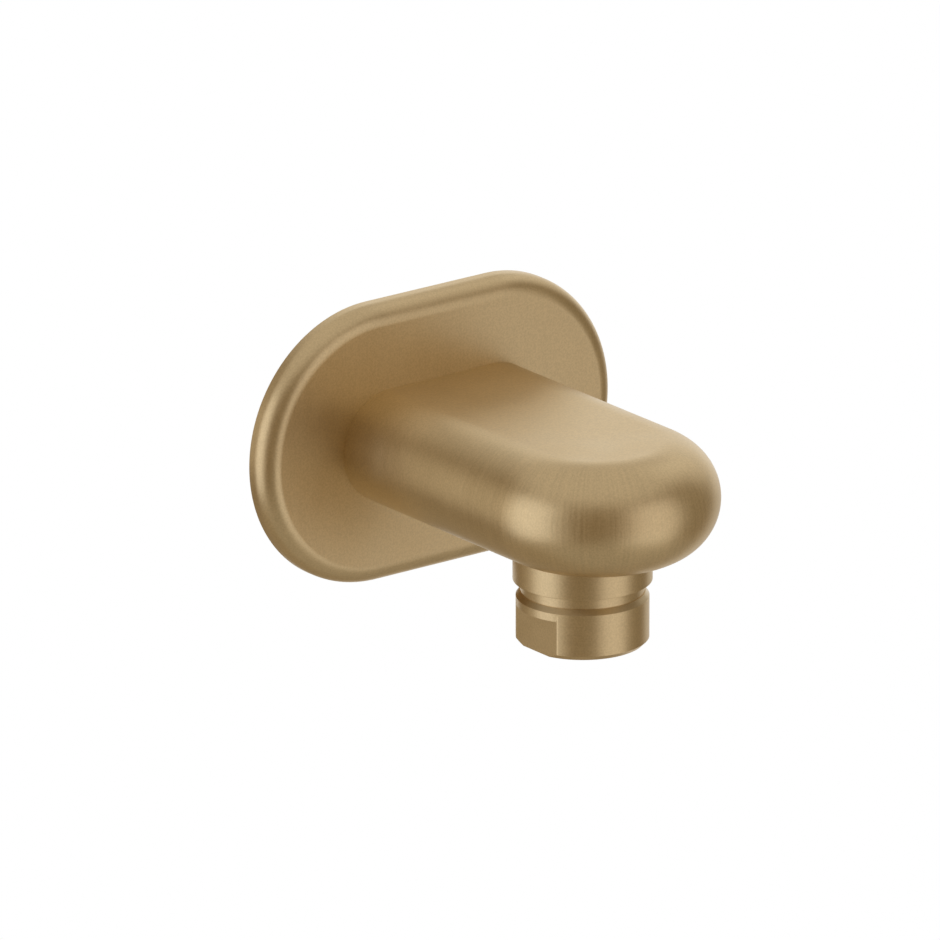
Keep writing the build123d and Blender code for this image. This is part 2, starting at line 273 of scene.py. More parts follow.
# Fine grain: the satin texture of a coat, and the slow clouding that goes with it
cloud_scale = 70.0  # to the metre
fine_grain, entry, outlet = start_group(
    "Fine grain", {"Place": "NodeSocketVector", "Size": "NodeSocketFloat"}, ["Grain", "Cloud"]
)
grain_scale = work(fine_grain, "DIVIDE", 1.0, entry["Size"])
grains = add_node(
    fine_grain,
    "ShaderNodeTexNoise",
    {"Vector": entry["Place"], "Scale": grain_scale, "Detail": 2.0, "Roughness": 0.6},
)
clouds = add_node(
    fine_grain, "ShaderNodeTexNoise", {"Vector": entry["Place"], "Scale": cloud_scale, "Detail": 2.0}
)
fine_grain.links.new(ease(fine_grain, grains.outputs[0], 0.3, 0.7), outlet["Grain"])
fine_grain.links.new(ease(fine_grain, clouds.outputs[0], 0.3, 0.7), outlet["Cloud"])


def start_finish(name):
    """A new material: its node tree, its shader and the place on the piece."""
    finish = bpy.data.materials.new(name)
    finish.use_nodes = True
    tree = finish.node_tree
    place = add_node(tree, "ShaderNodeTexCoord", {}).outputs["Object"]
    return finish, tree, tree.nodes["Principled BSDF"], place


def use_group(tree, group, feeds):
    """Place a node group with its own values."""
    return add_node(tree, "ShaderNodeGroup", feeds, node_tree=group).outputs


def brushed(tree, across, along, pitch):
    """Brush lines of a pitch, counted from their middle."""
    feeds = {"Across": across, "Along": along, "Pitch": pitch}
    return off_centre(tree, use_group(tree, brush_lines, feeds)["Lines"])


def axes(tree, place):
    """The three coordinates of a place."""
    return add_node(tree, "ShaderNodeSeparateXYZ", {"Vector": place}).outputs


def raise_surface(tree, shader, height, depth):
    """Relief of a given depth in metres."""
    bump = add_node(tree, "ShaderNodeBump", {"Height": height, "Distance": depth, "Strength": 1.0})
    tree.links.new(bump.outputs[0], shader.inputs["Normal"])


def bronze_coat(tree, shader, place, lines, bare):
    """Satin bronze over brass: brush lines and grain in its tone, gloss and relief; bare brass where told."""
    marks = use_group(tree, fine_grain, {"Place": place, "Size": 0.4 * mm})
    grain = off_centre(tree, marks["Grain"])
    cloud = off_centre(tree, marks["Cloud"])
    tone = total(tree, 0.5, times(tree, lines, 0.20), times(tree, grain, 0.32), times(tree, cloud, 0.12))
    coat_colour = blend_colours(tree, tone, (0.617, 0.475, 0.270), (0.753, 0.581, 0.330))
    brass_colour = blend_colours(tree, tone, (0.56, 0.40, 0.17), (0.66, 0.49, 0.23))
    tree.links.new(blend_colours(tree, bare, coat_colour, brass_colour), shader.inputs["Base Color"])
    coat_roughness = total(tree, 0.37, times(tree, lines, 0.03), times(tree, cloud, 0.025))
    roughness = work(tree, "MULTIPLY_ADD", bare, -0.08, coat_roughness)
    tree.links.new(roughness, shader.inputs["Roughness"])
    relief = total(tree, times(tree, lines, 0.6), times(tree, grain, 0.4))
    raise_surface(tree, shader, relief, 0.004 * mm)
    shader.inputs["Metallic"].default_value = 1


plate_finish, tree, shader, place = start_finish("plate_bronze")
at = axes(tree, place)
lines = times(tree, brushed(tree, at["X"], at["Z"], 0.5 * mm), 0.35)
bend_side = (plate_width - plate_height) / 2
past_bend = work(tree, "SUBTRACT", work(tree, "ABSOLUTE", at["X"]), bend_side)
from_middle = apart(tree, work(tree, "MAXIMUM", past_bend, 0.0), at["Z"])
in_hollow = times(
    tree,
    work(tree, "GREATER_THAN", at["Y"], -plate_back_reach - finish_margin),
    work(tree, "LESS_THAN", from_middle, plate_height / 2 - plate_side_wall + finish_margin),
)
bronze_coat(tree, shader, place, lines, in_hollow)

wall_plate = stadium("wall_plate_piece", plate_width, plate_height, 0)
pull(0, -face_reach, 0)
pick(wall_plate, "FACE", lambda p: p.y > -hair)
bpy.ops.mesh.inset(thickness=plate_side_wall, use_even_offset=True)
pull(0, -plate_back_reach, 0)
round_over(wall_plate, rim_round, lambda p: p.y < hair - face_reach, segments=20)
slot = stadium("slot", slot_width, slot_height, -overrun)
pull(0, -slot_cut, 0)
face_outwards()
carve(wall_plate, slot)
close_up(wall_plate)
wall_plate.data.materials.append(plate_finish)
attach(wall_plate, "elbow")
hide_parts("wall_plate")

# Elbow arm. One brass casting: a stadium-section arm with a half-round tip and a collar below it.
# It is bored for the nipple and the outlet, and cored from the back on either side of the bore.
# The outside is brushed across the section and coated satin bronze.
arm_width = 51 * mm
arm_height = 24.4 * mm
tip_reach = 57.8 * mm
root_step = 1.4 * mm
root_reach = 1.2 * mm
root_margin = 0.01 * mm
outlet_reach = 53.2 * mm
collar_radius = 14.4 * mm
collar_foot = -18.8 * mm
collar_edge_round = 0.1 * mm
socket_radius = 9.05 * mm
socket_floor = 23.8 * mm
socket_flare = 1 * mm
flare_floor = 2 * mm
waterway_radius = 7 * mm
thread_bore_radius = 12 * mm
thread_bore_top = -12.4 * mm
seal_bore_radius = 10.55 * mm
chamber_top = 4 * mm
core_centre = 16.575 * mm
core_size = (9.05 * mm, 40 * mm, 15.6 * mm)
core_floor = 37.2 * mm
core_corner = 3 * mm
lock_reach = 9.3 * mm
lock_hole_radius = 2.55 * mm
inside_rise = 9.12 * mm  # bores and cores lie within this rise and this half width
inside_half_width = 21.2 * mm
lines_fade = (11.3 * mm, 12.1 * mm)  # the rise over which the brush lines end, short of the flats
lines_dim = (-58 * mm, -30 * mm)  # the way from the tip over which they grow fainter


def on_inlet(reach):
    """The point on the inlet's axis at a reach from the wall."""
    return (0, -reach, 0)


def on_outlet(level):
    """The point on the outlet's axis at a level."""
    return (0, -outlet_reach, level)


def turn(name, outline, bored=True, steps=128):
    """A turned piece on the outlet's axis: a ring drawn on from each radius and level to the next."""
    radius, level = outline[0]
    clear_bench()
    bpy.ops.mesh.primitive_circle_add(vertices=steps, radius=radius, location=on_outlet(level))
    piece = open_for_editing(name)
    bpy.ops.mesh.select_all(action="SELECT")
    for next_radius, next_level in outline[1:]:
        bpy.ops.mesh.extrude_edges_move(TRANSFORM_OT_translate={"value": (0, 0, next_level - level)})
        grow = next_radius / radius
        bpy.ops.transform.resize(value=(grow, grow, 1), center_override=on_outlet(next_level))
        radius, level = next_radius, next_level
    bpy.ops.mesh.select_all(action="DESELECT")
    bpy.ops.mesh.select_mode(type="EDGE")
    bpy.ops.mesh.select_non_manifold()
    if bored:
        bpy.ops.mesh.bridge_edge_loops()
    else:
        bpy.ops.mesh.fill_holes(sides=0)
    face_outwards()
    return piece


def on_lathe(radius, level):
    """A test for the circle at this radius and level on the outlet's axis."""
    return lambda p: abs(math.hypot(p.x, p.y + outlet_reach) - radius) < hair and abs(p.z - level) < hair


def bore(piece, start, end, radius, end_radius=None):
    """Drill a round hole from one point to another, tapered where it ends at another radius."""
    run = Vector(end) - Vector(start)
    clear_bench()
    bpy.ops.mesh.primitive_cone_add(
        vertices=96,
        radius1=radius,
        radius2=end_radius or radius,
        depth=run.length,
        location=(Vector(start) + Vector(end)) / 2,
        rotation=run.to_track_quat("Z", "Y").to_euler(),
    )
    carve(piece, bpy.context.object)


def from_outlet(tree, at):
    """How far a place lies from the outlet's axis."""
    return apart(tree, at["X"], work(tree, "ADD", at["Y"], outlet_reach))


def turned_lines(tree, at, radius):
    """The fine lines of a surface turned at a radius on the outlet's axis."""
    out = work(tree, "ADD", at["Y"], outlet_reach)
    round_outlet = times(tree, work(tree, "ARCTAN2", at["X"], out), radius)
    return times(tree, brushed(tree, at["Z"], round_outlet, 0.3 * mm), 0.4)


arm_finish, tree, shader, place = start_finish("arm_bronze")
at = axes(tree, place)
rise = work(tree, "ABSOLUTE", at["Z"])
wallwards = work(tree, "ADD", at["Y"], tip_reach)
tipwards = work(tree, "MAXIMUM", times(tree, wallwards, -1.0), 0.0)
round_tip = work(tree, "ARCTAN2", at["X"], tipwards)
side_run = times(tree, work(tree, "SIGN", at["X"]), work(tree, "MAXIMUM", wallwards, 0.0))
across = work(tree, "MULTIPLY_ADD", round_tip, arm_width / 2, side_run)
arm_lines = times(
    tree,
    brushed(tree, across, at["Z"], 0.75 * mm),
    ease(tree, rise, *lines_fade, 1.0, 0.0),
    ease(tree, at["Y"], *lines_dim, 1.0, 0.4),
)
on_collar = work(tree, "LESS_THAN", at["Z"], -arm_height / 2 - finish_margin)
collar_lines = times(tree, turned_lines(tree, at, collar_radius), on_collar)
in_outlet = times(
    tree,
    work(tree, "LESS_THAN", from_outlet(tree, at), thread_bore_radius + finish_margin),
    work(tree, "LESS_THAN", at["Z"], chamber_top + finish_margin),
)
in_arm = times(
    tree,
    work(tree, "LESS_THAN", rise, inside_rise),
    work(tree, "GREATER_THAN", at["Y"], -outlet_reach),
    work(tree, "LESS_THAN", work(tree, "ABSOLUTE", at["X"]), inside_half_width),
)
on_root = work(tree, "GREATER_THAN", at["Y"], -face_reach + root_margin)
bare = either(tree, in_outlet, in_arm, on_root)
bronze_coat(tree, shader, place, total(tree, arm_lines, collar_lines), bare)

elbow_arm = stadium("elbow_arm_piece", arm_width, arm_height, tip_reach)
pick(elbow_arm, "FACE", lambda p: True)
bpy.ops.mesh.delete(type="ONLY_FACE")
pick(elbow_arm, "VERT", lambda p: p.x < -hair)
bpy.ops.mesh.delete(type="VERT")
to_axis = ((arm_height - arm_width) / 2, 0, 0)
for level in (arm_height / 2, -arm_height / 2):
    pick(elbow_arm, "VERT", lambda p: abs(p.z - level) < hair)
    bpy.ops.mesh.extrude_vertices_move(TRANSFORM_OT_translate={"value": to_axis})
bpy.ops.mesh.select_all(action="SELECT")
bpy.ops.mesh.spin(steps=128, angle=math.pi, center=on_inlet(tip_reach), axis=(0, 0, 1))
merge_corners(hair)
pick(elbow_arm, "EDGE", lambda p: abs(p.y + tip_reach) < hair)
bpy.ops.mesh.extrude_edges_move(TRANSFORM_OT_translate={"value": (0, tip_reach - face_reach, 0)})
merge_corners(hair)
pick(elbow_arm, "EDGE", lambda p: abs(p.y + face_reach) < hair)
bpy.ops.mesh.edge_face_add()
bpy.ops.mesh.inset(thickness=root_step, use_even_offset=True)
pull(0, face_reach - root_reach, 0)
face_outwards()

collar = turn("collar", [(collar_radius, 0), (collar_radius, collar_foot)], bored=False)
round_over(collar, collar_edge_round, on_lathe(collar_radius, collar_foot), segments=4)
carve(elbow_arm, collar, "UNION")
flare_end = on_inlet(flare_floor - socket_flare)
bore(elbow_arm, on_inlet(socket_floor), on_inlet(0), socket_radius)
bore(elbow_arm, on_inlet(flare_floor), flare_end, socket_radius, socket_radius + socket_flare)
bore(elbow_arm, on_inlet(outlet_reach), on_inlet(socket_floor - overrun), waterway_radius)
bore(elbow_arm, on_outlet(collar_foot - overrun), on_outlet(thread_bore_top), thread_bore_radius)
bore(elbow_arm, on_outlet(thread_bore_top - overrun), on_outlet(chamber_top), seal_bore_radius)
bore(elbow_arm, (0, -lock_reach, -arm_height), on_inlet(lock_reach), lock_hole_radius)
for side in (-core_centre, core_centre):
    clear_bench()
    core_place = (side, core_size[1] / 2 - core_floor, 0)
    bpy.ops.mesh.primitive_cube_add(size=1, location=core_place, scale=core_size)
    core = open_for_editing("core")
    round_over(core, core_corner, lambda p: True, segments=8)
    carve(elbow_arm, core)
close_up(elbow_arm)
elbow_arm.data.materials.append(arm_finish)
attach(elbow_arm, "elbow")
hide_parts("elbow_arm")

# Outlet connector. A ring turned from brass bar, with two wrench flats and a thread for the hose.
# It screws up into the collar on a threaded spigot, which carries a seal and the valve.
ring_radius = 13.75 * mm
ring_bottom = -32.25 * mm
ring_chamfer = 1 * mm
ring_top = -21.3 * mm
bevel_foot = -22.4 * mm
bevel_margin = 0.02 * mm
crown_radius = 12.95 * mm
neck_radius = 12.8 * mm
spigot_thread_radius = 11.95 * mm
spigot_thread_top = -12.45 * mm
spigot_radius = 10.5 * mm
spigot_top = -7.6 * mm
spigot_groove = (9 * mm, -11.5 * mm, -8.9 * mm)  # a groove's radius, foot and top
valve_bore_radius = 8.2 * mm
valve_floor = -19.75 * mm
outlet_hole_radius = 6.5 * mm
flat_offset = 12 * mm
flat_top = -24.05 * mm
flat_cutter = (10 * mm, 40 * mm, flat_top - ring_bottom + overrun)
hose_root_radius = 10.4775 * mm
hose_crest_radius = 9.315 * mm
hose_mouth_radius = 10.9 * mm
hose_mouth_depth = 0.45 * mm
hose_blank_radius = 11.5 * mm
hose_trim_radius = 9.2 * mm
hose_lead_in_radius = 10.6 * mm
hose_lead_in = 1.4 * mm
washer_level = -22.25 * mm
thread_pitch = 1.814 * mm
thread_sunk = 0.08 * mm  # how far a ridge stands in the wall that carries it
thread_run_out = 0.2 * mm


def there_and_back(start, end, foot, top):
    """Four corners of an outline: from one radius to another at the foot, and back at the top."""
    return [(start, foot), (end, foot), (end, top), (start, top)]


def set_along(piece, y):
    """Move a piece along the arm and settle it there."""
    take(piece)
    piece.location.y = y
    settle()


def thread(name, root_radius, crest_radius, bottom, top):
    """A ridge of pipe thread: a tooth drawn round and up the axis, one pitch for each turn."""
    tooth_root = 0.47 * thread_pitch
    tooth_crest = 0.12 * thread_pitch
    sunk_radius = root_radius - math.copysign(thread_sunk, crest_radius - root_radius)
    clear_bench()
    bpy.ops.mesh.primitive_plane_add(size=1, location=(0, 0, 0), rotation=(math.pi / 2, 0, 0))
    ridge = open_for_editing(name)
    pick(ridge, "VERT", lambda p: p.x < 0)
    bpy.ops.transform.resize(value=(0, 1, 2 * tooth_root), center_override=(0, 0, 0))
    bpy.ops.transform.translate(value=(sunk_radius, 0, 0))
    pick(ridge, "VERT", lambda p: abs(p.x - 0.5) < 0.001)
    bpy.ops.transform.resize(value=(0, 1, 2 * tooth_crest), center_override=(0, 0, 0))
    bpy.ops.transform.translate(value=(crest_radius, 0, 0))
    bpy.ops.mesh.select_all(action="SELECT")
    bpy.ops.transform.translate(value=(0, 0, bottom - thread_pitch))
    bpy.ops.mesh.delete(type="ONLY_FACE")
    bpy.ops.object.mode_set(mode="OBJECT")
    winding = ridge.modifiers.new("Winding", "SCREW")
    winding.axis = "Z"
    winding.screw_offset = thread_pitch
    winding.iterations = math.ceil((top - bottom) / thread_pitch) + 2
    winding.steps = winding.render_steps = 64
    bpy.ops.object.modifier_apply(modifier=winding.name)
    bpy.ops.object.mode_set(mode="EDIT")
    bpy.ops.mesh.select_all(action="SELECT")
    bpy.ops.mesh.fill_holes(sides=0)
    face_outwards()
    set_along(ridge, -outlet_reach)
    return ridge


def fuse_thread(piece, ridge, blank):
    """Trim a thread's ridge to its blank, and make it one with the piece."""
    carve(ridge, blank, "INTERSECT")
    bpy.ops.object.mode_set(mode="EDIT")
    merge_corners(hair / 2)
    carve(piece, ridge, "UNION")


ring_finish, tree, shader, place = start_finish("ring_bronze")
at = axes(tree, place)
axis_distance = from_outlet(tree, at)
in_bore = work(tree, "LESS_THAN", axis_distance, hose_root_radius + 2 * finish_margin)
on_spigot = work(tree, "GREATER_THAN", at["Z"], collar_foot + finish_margin)
# Mask of the crown bevel, used for its bare brass and for its painted shade
bevel_bare_and_painted_shade = times(
    tree,
    work(tree, "GREATER_THAN", at["Z"], bevel_foot + bevel_margin),
    work(tree, "LESS_THAN", at["Z"], ring_top - bevel_margin),
    work(tree, "GREATER_THAN", axis_distance, crown_radius - finish_margin),
)
# Partly real and partly painted shade: the crown bevel is 0.7 bare brass, a smoother turned finish whose
# darker colour also stands in for the shade under the neck
bare = either(tree, in_bore, on_spigot, times(tree, bevel_bare_and_painted_shade, 0.7))
bronze_coat(tree, shader, place, turned_lines(tree, at, ring_radius), bare)
# Painted shade: the crown bevel's colour is mixed halfway to a dark bronze, standing in for the shade in the
# crease under the neck
coat_colour = shader.inputs["Base Color"].links[0].from_socket
bevel_painted_shade = blend_colours(tree, times(tree, bevel_bare_and_painted_shade, 0.5), coat_colour, (0.44, 0.355, 0.24))
tree.links.new(bevel_painted_shade, shader.inputs["Base Color"])

outlet_connector = turn(
    "outlet_connector_piece",
    [
        (hose_mouth_radius, ring_bottom),
        (ring_radius - ring_chamfer, ring_bottom),
        (ring_radius, ring_bottom + ring_chamfer),
        (ring_radius, bevel_foot),
        (crown_radius, ring_top),
        (neck_radius, ring_top),
        (neck_radius, collar_foot),
        (spigot_thread_radius, collar_foot),
        (spigot_thread_radius, spigot_thread_top),
        (spigot_radius, spigot_thread_top),
        *there_and_back(spigot_radius, *spigot_groove),
        (spigot_radius, spigot_top),
        (valve_bore_radius, spigot_top),
        (valve_bore_radius, valve_floor),
        (outlet_hole_radius, valve_floor),
        (outlet_hole_radius, washer_level),
        (hose_root_radius, washer_level),
        (hose_root_radius, ring_bottom + hose_mouth_depth),
    ],
)
for side in (-1, 1):
    clear_bench()
    bpy.ops.mesh.primitive_cube_add(
        size=1,
        location=(side * (flat_offset + flat_cutter[0] / 2), -outlet_reach, flat_top - flat_cutter[2] / 2),
        scale=flat_cutter,
    )
    settle()
    carve(outlet_connector, bpy.context.object)
hose_thread = thread("hose_thread", hose_root_radius, hose_crest_radius, ring_bottom, washer_level)
hose_bore = turn(
    "hose_bore",
    [
        (hose_blank_radius, washer_level + thread_run_out),
        (hose_blank_radius, ring_bottom),
        (hose_lead_in_radius, ring_bottom),
        (hose_trim_radius, ring_bottom + hose_lead_in),
        (hose_trim_radius, washer_level + thread_run_out),
    ],
)
fuse_thread(outlet_connector, hose_thread, hose_bore)
close_up(outlet_connector)
outlet_connector.data.materials.append(ring_finish)
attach(outlet_connector, "elbow")
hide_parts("outlet_connector")

# Inlet nipple. Turned from brass bar, with a pipe thread for the fitting in the wall.
# It is screwed in with a hexagon key from the front. The arm is then pushed over its plain end.
nipple_radius = 9 * mm
nipple_bore_radius = 4.75 * mm
nipple_end = 22.8 * mm
nipple_chamfer = 1 * mm
nipple_shoulder = 0.5 * mm
nipple_collar_back = -0.6 * mm
nipple_grooves = (  # for the grub screw and for the two seals
    (8 * mm, 6.5 * mm, 12.1 * mm),
    (7.5 * mm, 13.2 * mm, 15.8 * mm),
    (7.5 * mm, 17.6 * mm, 20.2 * mm),
)
inlet_root_radius = 9.3155 * mm
inlet_crest_radius = 10.4775 * mm
inlet_trim_radius = 10.45 * mm
inlet_blank_radius = 9 * mm
inlet_thread_end = -13 * mm
inlet_thread_start = -0.5 * mm
inlet_lead_in = 1.15 * mm
inlet_end_radius = 9.2 * mm
inlet_end_bevel = 0.12 * mm
key_width = 10 * mm
key_depth = 10 * mm


def lay_along_inlet(piece):
    """Turn a piece made upright on the outlet's axis so that up becomes out from the wall."""
    set_along(piece, outlet_reach)
    piece.rotation_euler = (math.pi / 2, 0, 0)
    settle()


def cut_key(piece, width, foot, top):
    """Cut a hexagon socket for a key of a width, on the outlet's axis."""
    clear_bench()
    bpy.ops.mesh.primitive_cylinder_add(
        vertices=6, radius=width / math.sqrt(3), depth=top - foot, location=on_outlet((foot + top) / 2)
    )
    carve(piece, bpy.context.object)


def tint(tree, shader, tone, dark, light, roughness):
    """Colour a finish between a dark and a light by its tone, and set how rough it is."""
    tree.links.new(blend_colours(tree, tone, dark, light), shader.inputs["Base Color"])
    tree.links.new(roughness, shader.inputs["Roughness"])


nipple_finish, tree, shader, place = start_finish("turned_brass")
at = axes(tree, place)
round_inlet = times(tree, work(tree, "ARCTAN2", at["X"], at["Z"]), nipple_radius)
lines = brushed(tree, at["Y"], round_inlet, 0.25 * mm)
cloud = off_centre(tree, use_group(tree, fine_grain, {"Place": place, "Size": 0.4 * mm})["Cloud"])
tone = total(tree, 0.5, times(tree, lines, 0.2), times(tree, cloud, 0.3))
roughness = total(tree, 0.3, times(tree, lines, 0.05))
tint(tree, shader, tone, (0.56, 0.40, 0.17), (0.68, 0.51, 0.24), roughness)
raise_surface(tree, shader, lines, 0.004 * mm)
shader.inputs["Metallic"].default_value = 1

inlet_nipple = turn(
    "inlet_nipple_piece",
    [
        (nipple_bore_radius, inlet_thread_end),
        (inlet_end_radius, inlet_thread_end),
        (inlet_root_radius, inlet_thread_end + inlet_end_bevel),
        (inlet_root_radius, nipple_collar_back),
        (inlet_crest_radius, nipple_collar_back),
        (inlet_crest_radius, nipple_shoulder),
        (nipple_radius, nipple_shoulder),
        *[corner for groove in nipple_grooves for corner in there_and_back(nipple_radius, *groove)],
        (nipple_radius, nipple_end - nipple_chamfer),
        (nipple_radius - nipple_chamfer, nipple_end),
        (nipple_bore_radius, nipple_end),
    ],
)
cut_key(inlet_nipple, key_width, nipple_end - key_depth, nipple_end + overrun)
inlet_thread = thread("inlet_thread", inlet_root_radius, inlet_crest_radius, inlet_thread_end, 0)
thread_blank = turn(
    "thread_blank",
    [
        (inlet_blank_radius, inlet_thread_end),
        (inlet_root_radius, inlet_thread_end),
        (inlet_trim_radius, inlet_thread_end + inlet_lead_in),
        (inlet_trim_radius, inlet_thread_start),
        (inlet_blank_radius, inlet_thread_start),
    ],
)
fuse_thread(inlet_nipple, inlet_thread, thread_blank)
lay_along_inlet(inlet_nipple)
close_up(inlet_nipple)
inlet_nipple.data.materials.append(nipple_finish)
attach(inlet_nipple, "elbow")
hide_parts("inlet_nipple")

# Rubber rings. Round-section seals, flattened a little where they are squeezed into their grooves:
# two on the nipple, one on the connector's spigot and a small one round the valve.
nipple_ring = (7.52 * mm, 9.03 * mm, 2.3 * mm, 0.66 * mm)  # radii, width and rounding
spigot_ring = (9.02 * mm, 10.53 * mm, 2.3 * mm, 0.66 * mm)
valve_ring = (7.32 * mm, 8.18 * mm, 1.96 * mm, 0.38 * mm)

rubber_finish, tree, shader, place = start_finish("seal_rubber")
marks = use_group(tree, fine_grain, {"Place": place, "Size": 0.25 * mm})
grain = off_centre(tree, marks["Grain"])
cloud = off_centre(tree, marks["Cloud"])
tone = total(tree, 0.5, times(tree, grain, 0.25), times(tree, cloud, 0.25))
roughness = total(tree, 0.5, times(tree, cloud, 0.08))
tint(tree, shader, tone, (0.012, 0.012, 0.013), (0.03, 0.03, 0.031), roughness)
raise_surface(tree, shader, grain, 0.006 * mm)

for name, (inner, outer, width, soften), level, along_inlet in (
    ("inlet_o_ring_inner", nipple_ring, 14.5 * mm, True),
    ("inlet_o_ring_outer", nipple_ring, 18.9 * mm, True),
    ("outlet_o_ring", spigot_ring, -10.2 * mm, False),
    ("check_valve_o_ring", valve_ring, -10.8 * mm, False),
):
    section = there_and_back(inner, outer, level - width / 2, level + width / 2)
    ring = turn(name + "_piece", section, steps=96)
    round_over(ring, soften, lambda p: True, segments=6)
    if along_inlet:
        lay_along_inlet(ring)
    close_up(ring)
    ring.data.materials.append(rubber_finish)
    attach(ring, "elbow")
    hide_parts(name)

# Grub screw. A short steel set screw in the arm's underside, with a hexagon socket and a cup point.
# It bears in the nipple's groove and holds the arm on.
grub_radius = 2.5 * mm
grub_bottom = -12 * mm
grub_top = -8.05 * mm
grub_chamfer = 0.35 * mm
grub_taper = 0.7 * mm
cup_radius = 1.3 * mm
cup_floor_radius = 0.3 * mm
cup_depth = 0.6 * mm
grub_key_width = 2.5 * mm
grub_key_depth = 2 * mm

steel_finish, tree, shader, place = start_finish("bright_steel")
at = axes(tree, place)
lines = brushed(tree, at["Z"], at["X"], 0.2 * mm)
cloud = off_centre(tree, use_group(tree, fine_grain, {"Place": place, "Size": 0.3 * mm})["Cloud"])
tone = total(tree, 0.5, times(tree, lines, 0.25), times(tree, cloud, 0.25))
roughness = total(tree, 0.3, times(tree, lines, 0.05))
tint(tree, shader, tone, (0.46, 0.46, 0.47), (0.60, 0.60, 0.61), roughness)
raise_surface(tree, shader, lines, 0.003 * mm)
shader.inputs["Metallic"].default_value = 1

grub_screw = turn(
    "grub_screw_piece",
    [
        (grub_radius - grub_chamfer, grub_bottom),
        (grub_radius, grub_bottom + grub_chamfer),
        (grub_radius, grub_top - grub_taper),
        (grub_radius - grub_taper, grub_top),
        (cup_radius, grub_top),
        (cup_floor_radius, grub_top - cup_depth),
    ],
    bored=False,
    steps=64,
)
cut_key(grub_screw, grub_key_width, grub_bottom - grub_key_depth, grub_bottom + grub_key_depth)
set_along(grub_screw, outlet_reach - lock_reach)
close_up(grub_screw)
grub_screw.data.materials.append(steel_finish)
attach(grub_screw, "elbow")
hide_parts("grub_screw")

# Wall seal. A strip of closed-cell foam laid round the hollow back of the plate, flush with the wall.
# Its edges are cut and a little soft.
strip_width = 84.4 * mm
strip_height = 53.4 * mm
strip_band = 5 * mm
strip_depth = 3.3 * mm
strip_edge_round = 0.5 * mm
cell_scale = 1700.0  # to the metre

foam_finish, tree, shader, place = start_finish("closed_cell_foam")
cells = add_node(tree, "ShaderNodeTexVoronoi", {"Vector": place, "Scale": cell_scale}).outputs["Distance"]
cell_wall = ease(tree, cells, 0.15, 0.65)
cloud = off_centre(tree, use_group(tree, fine_grain, {"Place": place, "Size": 0.5 * mm})["Cloud"])
tone = total(tree, 0.2, times(tree, cell_wall, 0.6), times(tree, cloud, 0.15))
roughness = total(tree, 0.85, times(tree, cell_wall, 0.1))
tint(tree, shader, tone, (0.022, 0.022, 0.023), (0.07, 0.07, 0.071), roughness)
raise_surface(tree, shader, cell_wall, 0.08 * mm)

wall_seal = stadium("wall_seal_piece", strip_width, strip_height, 0)
bpy.ops.mesh.inset(thickness=strip_band, use_even_offset=True)
bpy.ops.mesh.delete(type="FACE")
bpy.ops.mesh.select_all(action="SELECT")
pull(0, -strip_depth, 0)
round_over(wall_seal, strip_edge_round, lambda p: p.y > -hair or p.y < hair - strip_depth, segments=4)
close_up(wall_seal)
wall_seal.data.materials.append(foam_finish)
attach(wall_seal, "elbow")
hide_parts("wall_seal")

# Non-return valve, moulded parts. A cup with the seat in its top, and a guide pressed in from below:
# a ring, three spokes and a hub that the poppet's stem slides in.
housing_radius = 8.1 * mm
housing_bore_radius = 6.8 * mm
housing_top = -5.15 * mm
housing_groove = (7.3 * mm, -11.8 * mm, -9.8 * mm)
housing_edge_round = 0.4 * mm
seat_radius = 5 * mm
seat_level = -6.85 * mm
guide_radius = 6.75 * mm
guide_bore_radius = 5.65 * mm
guide_top = -17.55 * mm
spoke_size = (4.3 * mm, 1.3 * mm, 1.6 * mm)
spoke_centre = 3.95 * mm
spoke_level = guide_top - spoke_size[2] / 2
hub_radius = 2.3 * mm
hub_bottom = -18.75 * mm
hub_top = -12.4 * mm
guide_edge_round = 0.3 * mm
stem_bore_radius = 1.3 * mm
stem_bore_bottom = -20 * mm
stem_bore_top = -12 * mm

plastic_finish, tree, shader, place = start_finish("moulded_acetal")
marks = use_group(tree, fine_grain, {"Place": place, "Size": 0.3 * mm})
grain = off_centre(tree, marks["Grain"])
cloud = off_centre(tree, marks["Cloud"])
tone = total(tree, 0.5, times(tree, cloud, 0.35), times(tree, grain, 0.1))
roughness = total(tree, 0.42, times(tree, grain, 0.05))
tint(tree, shader, tone, (0.70, 0.69, 0.64), (0.78, 0.77, 0.73), roughness)
raise_surface(tree, shader, grain, 0.005 * mm)

valve_housing = turn(
    "check_valve_housing_piece",
    [
        (housing_bore_radius, valve_floor),
        (housing_radius, valve_floor),
        *there_and_back(housing_radius, *housing_groove),
        (housing_radius, housing_top),
        (seat_radius, housing_top),
        (seat_radius, seat_level),
        (housing_bore_radius, seat_level),
    ],
)
for edge_radius in (housing_radius, seat_radius):
    round_over(valve_housing, housing_edge_round, on_lathe(edge_radius, housing_top), segments=4)
guide_section = there_and_back(guide_bore_radius, guide_radius, valve_floor, guide_top)
valve_guide = turn("check_valve_guide_piece", guide_section)
for spoke_turn in (90, 210, 330):
    clear_bench()
    bpy.ops.mesh.primitive_cube_add(size=1, location=(spoke_centre, 0, spoke_level), scale=spoke_size)
    spoke = open_for_editing("spoke")
    round_over(spoke, guide_edge_round, lambda p: p.z < spoke_level, segments=3)
    spoke.rotation_euler.z = math.radians(spoke_turn)
    set_along(spoke, -outlet_reach)
    carve(valve_guide, spoke, "UNION")
hub = turn("hub", [(hub_radius, hub_bottom), (hub_radius, hub_top)], bored=False, steps=64)
round_over(hub, guide_edge_round, on_lathe(hub_radius, hub_top), segments=3)
carve(valve_guide, hub, "UNION")
bore(valve_guide, on_outlet(stem_bore_bottom), on_outlet(stem_bore_top), stem_bore_radius)
for piece, name in ((valve_housing, "check_valve_housing"), (valve_guide, "check_valve_guide")):
    close_up(piece)
    piece.data.materials.append(plastic_finish)
    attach(piece, "elbow")
    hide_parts(name)

